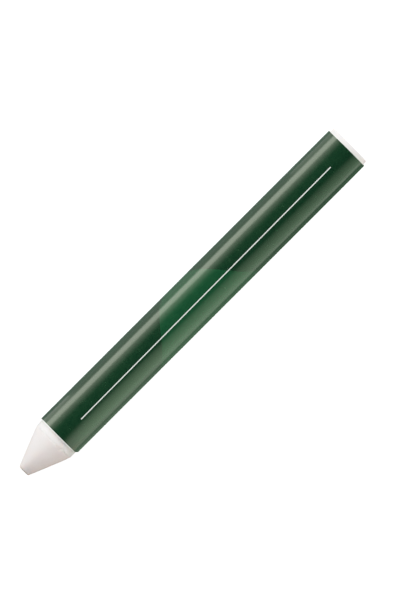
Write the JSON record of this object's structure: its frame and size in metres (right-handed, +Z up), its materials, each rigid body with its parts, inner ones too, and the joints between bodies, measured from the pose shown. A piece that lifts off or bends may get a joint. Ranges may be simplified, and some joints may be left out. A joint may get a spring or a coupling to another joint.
{
  "type": "wax marking crayon",
  "caption": "Solid white wax marking crayon with a blunt cone tip, in a wound paper sleeve that the stick slides through as it wears down.",
  "frame": {"origin": "on the surface that the crayon lies on, under the middle of its length", "axes": "+X along the stick from the nib to the butt, +Z up"},
  "size_m": [0.12, 0.013, 0.0131],
  "materials": {
    "wax": "matte",
    "label_paper": "gloss",
    "glue": "satin"
  },
  "bodies": {
    "sleeve": {"wrapper": "label_paper", "seam_glue": "glue"},
    "stick": {"wax_stick": "wax"}
  },
  "joints": [
    {"name": "stick_slide", "type": "slide", "parent": "sleeve", "child": "stick", "axis": [-1, 0, 0], "range_m": [-0.0129, 0.095]}
  ]
}
